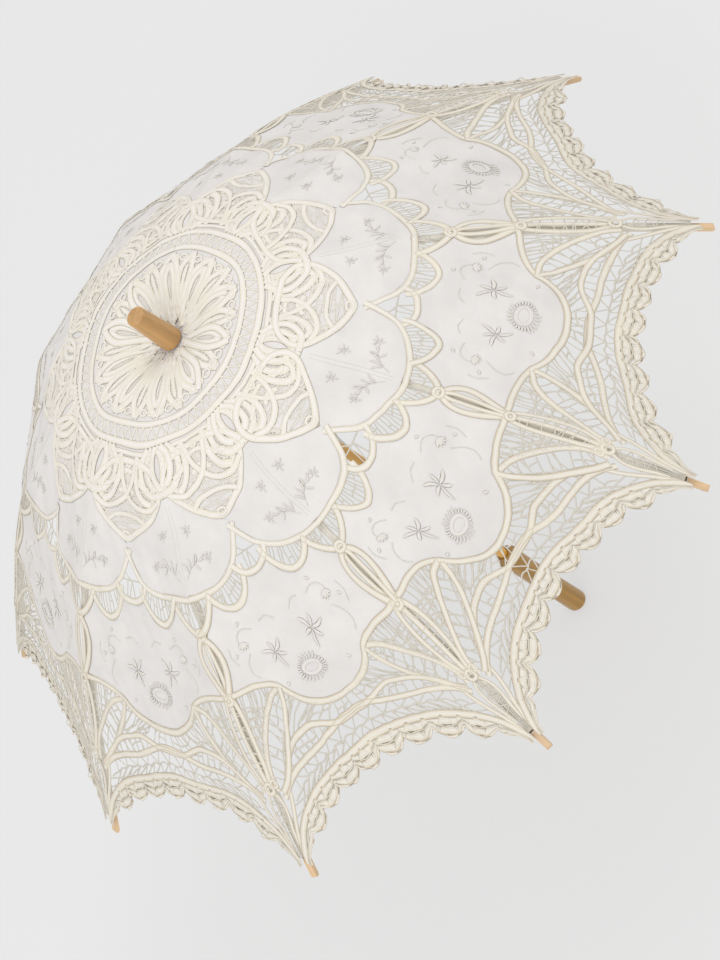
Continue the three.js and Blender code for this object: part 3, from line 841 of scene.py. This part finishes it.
def slab(name, plan, triangles, azimuth, cloth, finish):
    """A thin closed sheet of cloth over plan triangles."""
    used, where = np.unique(triangles, return_inverse=True)
    plan, triangles = plan[used], where.reshape(-1, 3)
    corners = plan[triangles]
    side = np.cross(corners[:, 1] - corners[:, 0], corners[:, 2] - corners[:, 0])
    triangles[side >= 0] = triangles[side >= 0][:, ::-1]  # placed() mirrors the drawing
    thick = cloth.linen_thickness / MM / 2
    top, normal = lifted(placed(plan, azimuth), np.full(len(plan), thick), cloth)
    low, _ = lifted(placed(plan, azimuth), np.full(len(plan), -thick), cloth)
    n = len(plan)
    edges = np.concatenate([triangles[:, [0, 1]], triangles[:, [1, 2]], triangles[:, [2, 0]]])
    key = np.sort(edges, 1)
    _, first, count = np.unique(key, axis=0, return_index=True, return_counts=True)
    rim = edges[first[count == 1]]
    quads = np.stack([rim[:, 1], rim[:, 0], rim[:, 0] + n, rim[:, 1] + n], -1)
    loops = np.concatenate([triangles.ravel(), (triangles[:, ::-1] + n).ravel(), quads.ravel()])
    sizes = np.concatenate([np.full(2 * len(triangles), 3), np.full(len(quads), 4)])
    starts = np.concatenate([[0], np.cumsum(sizes)[:-1]])
    points = np.concatenate([top, low]) * MM
    uv = np.concatenate([plan, plan])[loops]
    made = made_mesh(name, points, loops, starts, uv, [finish])
    made.data.normals_split_custom_set_from_vertices(np.concatenate([normal, -normal]).tolist())
    first_side, second_side = np.diff(top[triangles], axis=1).transpose(1, 0, 2)
    area = np.linalg.norm(np.cross(first_side, second_side), axis=1).sum() / 2
    return made, area * MM * MM


def numbered(name, sector):
    return f"{name}_{sector + 1:02d}"


def ridden(piece, sector, zone):
    """Ties a piece of cloth to the rib it lies over; a piece at the hub stays in place, its
    transform baked into its mesh.
    """
    name, _, _, keep = ZONES[zone]
    a = 2 * HALF * sector
    out = Vector((math.cos(a), math.sin(a), 0))
    if keep is None:
        first = out * 0.020 + Vector((0, 0, dome(20.0) * MM))
        last = out * 0.036 + Vector((0, 0, dome(20.0) * MM))
        numbered("upper", sector)
        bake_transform(piece)
        return
    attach(piece, numbered("lower" if name == "skirt" else "upper", sector))
    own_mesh(piece)


# ---- materials ----
class Value:
    """A socket that takes part in sums: each sum adds its own Math node."""

    def __init__(self, shader, socket):
        self.shader, self.socket = shader, socket

    def sum(self, operation, *values):
        return self.shader.add("ShaderNodeMath", {"operation": operation}, dict(enumerate(values)))

    def __add__(self, other):
        return self.sum("ADD", self, other)

    def __mul__(self, other):
        return self.sum("MULTIPLY", self, other)

    def __sub__(self, other):
        return self.sum("SUBTRACT", self, other)

    def __rsub__(self, other):
        return self.sum("SUBTRACT", other, self)

    def __pow__(self, other):
        return self.sum("POWER", self, other)

    def __abs__(self):
        return self.sum("ABSOLUTE", self)

    __radd__ = __add__
    __rmul__ = __mul__

    def sine(self):
        return self.sum("SINE", self)

    def step(self, low, high):
        settings = {"interpolation_type": "SMOOTHSTEP"}
        sockets = {0: self, 1: low, 2: high}
        return self.shader.add("ShaderNodeMapRange", settings, sockets)


class Shader:
    """Builds one material's nodes."""

    def __init__(self, name, colour):
        self.material = bpy.data.materials.new(name)
        self.material.use_nodes = True
        self.material.diffuse_color = (*colour, 1)
        self.tree = self.material.node_tree
        self.tree.nodes.clear()

    def add(self, kind, settings=None, sockets=None, output=0):
        node = self.tree.nodes.new(kind)
        for key, value in (settings or {}).items():
            setattr(node, key, value)
        for key, value in (sockets or {}).items():
            if isinstance(value, Value):
                self.tree.links.new(value.socket, node.inputs[key])
            else:
                node.inputs[key].default_value = value
        return Value(self, node.outputs[output])

    def mix(self, share, first, second):
        settings = {"data_type": "RGBA"}
        colours = [(*c, 1) if isinstance(c, tuple) else c for c in (first, second)]
        return self.add("ShaderNodeMix", settings, {0: share, 6: colours[0], 7: colours[1]}, 2)

    def place(self):
        return self.add("ShaderNodeTexCoord", output=3)

    def parts(self, vector):
        split = self.add("ShaderNodeSeparateXYZ", sockets={0: vector}).socket.node
        return [Value(self, s) for s in split.outputs]

    def vector(self, x, y, z):
        return self.add("ShaderNodeCombineXYZ", sockets={0: x, 1: y, 2: z})

    def noise(self, vector, scale, detail=3.0):
        sockets = {"Vector": vector, "Scale": scale, "Detail": detail}
        return self.add("ShaderNodeTexNoise", sockets=sockets)

    def weave(self):
        return self.parts(self.add("ShaderNodeUVMap", {"uv_map": "weave"}))

    def finish(self, colour, roughness, height=None, depth=0.0002, strength=0.5, **constants):
        sockets = {"Base Color": colour, "Roughness": roughness}
        for key, value in constants.items():
            sockets[key.replace("_", " ")] = value
        if height is not None:
            bump = {"Height": height, "Strength": strength, "Distance": depth}
            sockets["Normal"] = self.add("ShaderNodeBump", sockets=bump)
        surface = self.add("ShaderNodeBsdfPrincipled", sockets=sockets)
        output = self.tree.nodes.new("ShaderNodeOutputMaterial")
        self.tree.links.new(surface.socket, output.inputs[0])
        return self.material


def shade(colour, much):
    return tuple(min(1.0, c * much) for c in colour)


def tinted(colour, *much):
    return tuple(c * m for c, m in zip(colour, much))


def linen_finish(colours):
    s = Shader("linen", colours.linen)
    across, out, _ = s.weave()
    place = s.place()
    uneven = s.noise(place, 900, 2)
    warp = (across * (2 * math.pi / 0.75) + uneven * 3.0).sine()
    weft = (out * (2 * math.pi / 0.8) + uneven * 3.0).sine()
    cloud = s.noise(place, 26, 4).step(0.3, 0.7)
    slub = s.noise(s.vector(across * 0.05, out * 1.6, 0.0), 1.0, 2).step(0.55, 0.75)
    colour = s.mix(cloud, shade(colours.linen, 0.95), shade(colours.linen, 1.03))
    colour = s.mix(slub * 0.35, colour, shade(colours.linen, 0.86))
    grain = warp * weft
    colour = s.mix(grain.step(-1.0, 1.0) * 0.12, colour, shade(colours.linen, 0.8))
    sheen = {"Sheen_Weight": 0.15, "Sheen_Roughness": 0.5}
    return s.finish(colour, cloud * 0.08 + 0.86, grain, 0.00012, 0.55, **sheen)


def tape_finish(name, base, ladder, dark, depth):
    s = Shader(name, base)
    run, across, _ = s.weave()
    place = s.place()
    wobble = s.noise(place, 240, 2)
    picks = (run * (2 * math.pi / ladder) + wobble * 3.0).sine()
    side = abs(across)
    holes = side.step(0.16, 0.26) * (1 - side.step(0.34, 0.46)) * picks.step(-0.3, 0.6)
    edge = side.step(0.48, 0.60) * (1 - side.step(0.86, 0.94) * 0.6)
    stain = s.noise(place, 38, 4).step(0.48, 0.72)
    x, y, _ = s.parts(place)
    far = (x * x + y * y) ** 0.5
    out = far.step(0.15, 0.26)
    body = s.mix(out, tinted(base, 1.01, 1.02, 1.07), tinted(base, 0.97, 0.96, 0.95))
    # edge outline: partly the edge cord's own tan, partly painted shade along the tape's edges;
    # darker for tapes far from the shaft
    cord_and_shade = s.mix(out, tinted(base, 0.84, 0.81, 0.73), tinted(base, 0.66, 0.585, 0.475))
    # painted shade in the grooves between the picks, weighted by 1 - dark
    colour = s.mix(picks.step(-1.0, 1.0) * (1 - dark), body, shade(base, 0.3))
    # painted shade in the ladder holes: the holes are darkened, not opened
    colour = s.mix(holes * 0.5, colour, shade(base, 0.6))
    # lays the outline of edge cord colour and painted edge shade along both sides
    colour = s.mix(edge * (picks * 0.2 + 0.8), colour, cord_and_shade)
    colour = s.mix(stain * 0.5, colour, tinted(base, 0.95, 0.92, 0.85))
    return s.finish(colour, wobble * 0.1 + 0.8, 1 - holes - picks * 0.15, depth, 0.4)


def thread_finish(name, base, twist):
    s = Shader(name, base)
    run, across, _ = s.weave()
    ply = (run * (2 * math.pi / twist) + across * 2.0).sine()
    speck = s.noise(s.place(), 300, 2)
    # painted shade in the grooves between the plies
    colour = s.mix(ply.step(-1.0, 0.4), shade(base, 0.88), base)
    return s.finish(colour, speck * 0.12 + 0.76, ply, 0.0001, 0.5)


def satin_finish(base):
    s = Shader("satin_stitch", base)
    run, across, _ = s.weave()
    floss = (across * 16.0 + run * 0.6).sine()
    cloud = s.noise(s.place(), 120, 2)
    # painted shade between the floss strands
    colour = s.mix(floss.step(-1.0, 0.6), shade(base, 0.94), base)
    return s.finish(colour, cloud * 0.14 + 0.38, floss, 0.0001, 0.4, Sheen_Weight=0.3)


def wood_finish(name, base, along, gloss, dark=0.55, under=None):
    """Wood with its grain along the shaft, or outwards along the ribs."""
    s = Shader(name, base)
    x, y, z = s.parts(s.place())
    if along == "shaft":
        grain = s.vector(x * 260, y * 260, z * 9)
        ring = s.vector(x * 90, y * 90, z * 3)
    else:
        turn = y.sum("ARCTAN2", y, x)
        far = (x * x + y * y) ** 0.5
        grain = s.vector(far * 22, turn * 150, z * 40)
        ring = s.vector(far * 6, turn * 40, z * 12)
    fibres = s.noise(grain, 1.0, 5)
    bands = s.noise(ring, 1.0, 3).step(0.38, 0.62)
    pores = s.noise(grain, 2.6, 2).step(0.62, 0.74)
    colour = s.mix(bands, shade(base, 0.86), shade(base, 1.12))
    colour = s.mix(fibres.step(0.35, 0.75) * 0.4, colour, shade(base, dark))
    colour = s.mix(pores * 0.4, colour, shade(base, 0.45))
    if under is not None:
        pale = s.mix(fibres.step(0.35, 0.75) * 0.6, under, shade(under, 0.82))
        colour = s.mix(far.step(0.3835, 0.3865), pale, colour)
    rough = fibres * 0.22 + gloss
    coat = {"Coat_Weight": 0.35, "Coat_Roughness": 0.25}
    return s.finish(colour, rough, fibres - pores * 0.4, 0.00025, 0.35, **coat)


def steel_finish():
    s = Shader("steel", (0.6, 0.6, 0.58))
    x, y, z = s.parts(s.place())
    brush = s.noise(s.vector(x * 300, y * 300, z * 900), 1.0, 3)
    tarnish = s.noise(s.place(), 160, 4).step(0.5, 0.7)
    colour = s.mix(tarnish, (0.62, 0.61, 0.58), (0.34, 0.30, 0.25))
    return s.finish(colour, tarnish * 0.3 + brush * 0.15 + 0.22, brush, 0.00006, 0.3, Metallic=1.0)


def floor_finish(settings):
    colour = tuple(settings.floor)
    s = Shader("floor", colour)
    cloud = s.noise(s.place(), 1.4, 2)
    mixed = s.mix(cloud, shade(colour, 0.99), shade(colour, 1.01))
    lit = {"Emission_Color": (1.0, 1.0, 1.0, 1.0), "Emission_Strength": settings.glow}
    return s.finish(mixed, cloud * 0.05 + 0.85, **lit)


# ---- operators ----
class PARASOL_OT_camera(bpy.types.Operator):
    """Place the camera that looks down on the open canopy"""

    bl_idname = "parasol.camera"
    bl_label = "Camera"

    def execute(self, context):
        data = bpy.data.cameras.new("camera")
        camera = bpy.data.objects.new("camera", data)
        context.scene.collection.objects.link(camera)
        right = Vector(CAMERA_RIGHT)
        up = Vector(CAMERA_UP)
        back = right.cross(up).normalized()
        up = back.cross(right).normalized()
        turn = Matrix((right.normalized(), up, back)).transposed()
        camera.matrix_world = Matrix.Translation(CAMERA_PLACE) @ turn.to_4x4()
        data.sensor_width = 36.0
        data.lens = CAMERA_LENS
        data.clip_end = 60.0
        context.scene.camera = camera
        return {"FINISHED"}


class PARASOL_OT_stage(bpy.types.Operator):
    """Lay the pale floor and hang the soft studio lights"""

    bl_idname = "parasol.stage"
    bl_label = "Stage"

    def execute(self, context):
        settings = context.scene.parasol_stage
        corners = ((-1, -1), (1, -1), (1, 1), (-1, 1))
        points = np.array([(x * FLOOR_REACH, y * FLOOR_REACH, -FLOOR_DROP) for x, y in corners])
        loops = np.arange(4)
        uv = points[:, :2]
        floor = made_mesh("floor", points, loops, np.array([0]), uv, [floor_finish(settings)])
        world = bpy.data.worlds.new("room")
        world.use_nodes = True
        backdrop = world.node_tree.nodes["Background"]
        backdrop.inputs["Color"].default_value = (1.0, 1.0, 1.0, 1.0)
        backdrop.inputs["Strength"].default_value = settings.sky
        context.scene.world = world
        self.lamp(context, "key", (1.55, 0.1, 3.1), 1.3, settings.key)
        self.lamp(context, "fill", (-1.8, -2.4, 2.8), 2.6, settings.key * 1.9)
        context.scene.view_settings.view_transform = "Standard"
        return {"FINISHED"}

    def lamp(self, context, name, place, size, power):
        data = bpy.data.lights.new(name, "AREA")
        data.shape = "DISK"
        data.size = size
        data.energy = power
        lamp = bpy.data.objects.new(name, data)
        lamp.location = place
        aim = Vector((0, 0, 0.5)) - Vector(place)
        lamp.rotation_euler = aim.to_track_quat("-Z", "Y").to_euler()
        context.scene.collection.objects.link(lamp)


class PARASOL_OT_frame(bpy.types.Operator):
    """Finish the wooden frame and its steel fittings"""

    bl_idname = "parasol.frame"
    bl_label = "Wooden frame"

    def execute(self, context):
        colours = context.scene.parasol_colours
        honey = wood_finish("shaft_wood", tuple(colours.honey), "shaft", 0.24)
        handle = wood_finish("handle_wood", shade(colours.honey, 0.5), "shaft", 0.22)
        ferrule = wood_finish("ferrule_wood", tuple(colours.light_wood), "shaft", 0.30)
        turned = wood_finish("frame_wood", tuple(colours.pale_wood), "shaft", 0.40, 0.75)
        pale = tuple(colours.pale_wood)
        sticks = wood_finish("rib_wood", tuple(colours.rib_wood), "rib", 0.42, 0.75, pale)
        steel = steel_finish()
        plain = {
            "shaft": (honey, 0.0),
            "handle": (handle, 0.8),
            "handle_collar": (handle, 0.4),
            "ferrule": (ferrule, 0.7),
            "top_notch": (turned, 0.3),
            "runner": (turned, 0.3),
            "notch_wire": (steel, 0.0),
            "catch_spring": (steel, 0.25),
            "stop_ring": (steel, 0.35),
        }
        for i in range(SECTORS):
            for name, round_off in (("rib_upper", 0.9), ("rib_lower", 2.1), ("stretcher", 0.9)):
                plain[numbered(name, i)] = (sticks, round_off)
        for name, (finish, round_off) in plain.items():
            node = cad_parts[name]
            node.data.materials.clear()
            node.data.materials.append(finish)
            if round_off:
                bevel = node.modifiers.new("rounded", "BEVEL")
                bevel.width = round_off * MM
                bevel.segments = 3
                bevel.limit_method = "ANGLE"
                bevel.angle_limit = math.radians(35)
        return {"FINISHED"}


class PARASOL_OT_canopy(bpy.types.Operator):
    """Sew the linen petals and panels, and lay the tape lace and threads over them"""

    bl_idname = "parasol.canopy"
    bl_label = "Canopy"

    def execute(self, context):
        cloth = context.scene.parasol_cloth
        colours = context.scene.parasol_colours
        finishes = [
            tape_finish("lace_tape", tuple(colours.tape), 1.25, 0.93, 0.0003),
            thread_finish("lace_thread", tuple(colours.thread), 1.2),
            satin_finish((0.73, 0.70, 0.65)),
            thread_finish("pale_thread", tuple(colours.tape), 1.2),
        ]
        linen = linen_finish(colours)
        lace = self.lay_lace(cloth, finishes)
        self.sew_linen(cloth, linen, lace)
        return {"FINISHED"}

    def lay_lace(self, cloth, finishes):
        lace = {}
        for key, bag in bagged(drawn(cloth), cloth).items():
            sector, zone = divmod(key, len(ZONES))
            piece = bag.mesh(numbered("lace_" + ZONES[zone][0], sector), finishes)
            ridden(piece, sector, zone)
            lace[key] = piece
        return lace

    def sew_linen(self, cloth, finish, lace):
        cuts = [z[2] for z in ZONES[:-1]]
        centre = cut_cloth(centre_outline(), 2.4, cuts[:5])
        petal = cut_cloth(petal_outline(), 3.0, cuts[5:])
        panel = cut_cloth(panel_outline(), 3.0)
        other = (panel[0] * [-1, 1], panel[1][:, ::-1])
        for sector in range(SECTORS):
            azimuth = 2 * HALF * sector
            jobs = (
                (centre, azimuth, "linen"),
                (petal, azimuth, "linen_petal"),
                (panel, azimuth - HALF, "linen_panel_a"),
                (other, azimuth + HALF, "linen_panel_b"),
            )
            for (plan, triangles), turned, name in jobs:
                self.sew(plan, triangles, turned, name, sector, cloth, finish, lace)

    def sew(self, plan, triangles, azimuth, name, sector, cloth, finish, lace):
        middle = placed(plan[triangles].mean(1), azimuth)
        zones = sector_and_zone(middle) % len(ZONES)
        for zone in np.unique(zones):
            some = triangles[zones == zone]
            place = ZONES[zone][0]
            full_name = numbered(f"{name}_{place}", sector)
            piece, area = slab(full_name, plan, some, azimuth, cloth, finish)
            solids = {"hub": "canopy_cap", "skirt": numbered("canopy_outer", sector)}
            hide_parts(solids.get(place, numbered("canopy_inner", sector)))
            ridden(piece, sector, int(zone))
            span = plan[np.unique(some)]
            width, length = (span.max(0) - span.min(0)) * MM
            lace_piece = lace.pop(sector * len(ZONES) + int(zone), None)
            length * SLOPE_ALLOWANCE
            numbered("rib_lower" if place == "skirt" else "rib_upper", sector)


def centre_outline():
    low, high = 6.2, 138.0
    turn = np.linspace(-HALF, HALF, 25)
    inner = np.stack([low * np.sin(turn), low * np.cos(turn)], -1)
    reach = high + 30 * smooth(0, HALF, np.abs(turn[::-1]))
    outer = np.stack([reach * np.sin(turn[::-1]), reach * np.cos(turn[::-1])], -1)
    sides = np.linspace(low, reach[0], 70)[1:-1]
    right = np.stack([sides * math.sin(HALF), sides * math.cos(HALF)], -1)
    return np.concatenate([inner, right, outer, mirrored(right)[::-1]])


def petal_outline():
    top = spline(LINEN_PETAL, 2.5)
    end = spline(LINEN_PETAL_END, 2.5)
    half = np.concatenate([top, end])
    half[:, 0] = np.minimum(half[:, 0], half[:, 1] * TILT)
    return np.concatenate([half, mirrored(half)[::-1][1:-1]])


def panel_outline():
    top = spline(LINEN_PANEL, 2.0)
    leaf = rib_to_gore(spline(LINEN_PANEL_LEAF, 2.5))
    foot = spline(LINEN_PANEL_FOOT, 2.5)
    middle = np.stack([np.zeros(27), np.linspace(301.8, 217, 29)[1:-1]], -1)
    return np.concatenate([top, leaf, foot, middle])


class PARASOL_OT_ties(bpy.types.Operator):
    """Bind the canopy's corners to the rib tips with thread"""

    bl_idname = "parasol.ties"
    bl_label = "Rib tip ties"

    def execute(self, context):
        colours = context.scene.parasol_colours
        finishes = [
            thread_finish("binding", tuple(colours.thread), 1.0),
            thread_finish("dark_binding", (0.10, 0.06, 0.03), 1.0),
        ]
        for sector in range(SECTORS):
            bag = Bag()
            for r in BINDING_RADII:
                self.turn_of_thread(bag, r, 2 * HALF * sector, int(r == BINDING_DARK))
            piece = bag.mesh(numbered("tip_binding", sector), finishes)
            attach(piece, numbered("lower", sector))
        return {"FINISHED"}

    def outward(self, rings):
        """1 if the strip's directions already point away from its middle line, else -1."""
        away = rings - rings.mean(1, keepdims=True)
        return 1.0 if (facing(rings) * away).sum() > 0 else -1.0

    def turn_of_thread(self, bag, r, azimuth, finish):
        a = slope(r)
        centre = np.array([r - RIB_DEPTH * math.sin(a), 0, dome(r) - RIB_DEPTH * math.cos(a)])
        square = np.array([math.sin(a), 0, math.cos(a)])
        side = np.array([0.0, 1.0, 0.0])
        along = np.cross(side, square)
        turn = np.linspace(0, 2 * math.pi, 17)
        ring = np.linspace(0, 2 * math.pi, 6, endpoint=False)
        c, s = np.cos(turn), np.sin(turn)
        wide = np.sign(c) * np.abs(c) ** 0.7
        tall = np.sign(s) * np.abs(s) ** 0.7
        way = wide[:, None] * side * 3.05 + tall[:, None] * square * 2.55
        out = way / np.linalg.norm(way, axis=1, keepdims=True)
        outwards = np.cos(ring)[None, :, None] * out[:, None]
        lengthways = np.sin(ring)[None, :, None] * along
        points = centre + way[:, None] + BINDING_THREAD * (outwards + lengthways)
        ca, sa = math.cos(azimuth), math.sin(azimuth)
        turned = points @ np.array([[ca, sa, 0], [-sa, ca, 0], [0, 0, 1]])
        bag.strip(turned, facing(turned) * self.outward(turned), turn * 3, np.cos(ring), finish)


class PARASOL_PT_panel(bpy.types.Panel):
    """Lists the parasol's builders in the sidebar"""

    bl_idname = "PARASOL_PT_panel"
    bl_label = "Lace Parasol"
    bl_space_type = "VIEW_3D"
    bl_region_type = "UI"
    bl_category = "Parasol"

    def draw(self, context):
        for step in STEPS:
            self.layout.operator("parasol." + step)
        for group in ("parasol_cloth", "parasol_colours", "parasol_stage"):
            settings = getattr(context.scene, group)
            for name in settings.__annotations__:
                self.layout.prop(settings, name)


STEPS = ("camera", "stage", "frame", "canopy", "ties")
CLASSES = (
    ParasolClothSettings,
    ParasolColourSettings,
    ParasolStageSettings,
    PARASOL_OT_camera,
    PARASOL_OT_stage,
    PARASOL_OT_frame,
    PARASOL_OT_canopy,
    PARASOL_OT_ties,
    PARASOL_PT_panel,
)


def register():
    for cls in CLASSES:
        bpy.utils.register_class(cls)
    bpy.types.Scene.parasol_cloth = bpy.props.PointerProperty(type=ParasolClothSettings)
    bpy.types.Scene.parasol_colours = bpy.props.PointerProperty(type=ParasolColourSettings)
    bpy.types.Scene.parasol_stage = bpy.props.PointerProperty(type=ParasolStageSettings)


def unregister():
    del bpy.types.Scene.parasol_stage
    del bpy.types.Scene.parasol_colours
    del bpy.types.Scene.parasol_cloth
    for cls in reversed(CLASSES):
        bpy.utils.unregister_class(cls)


def main():
    register()
    for step in STEPS:
        getattr(bpy.ops.parasol, step)()


if __name__ == "__main__":
    main()
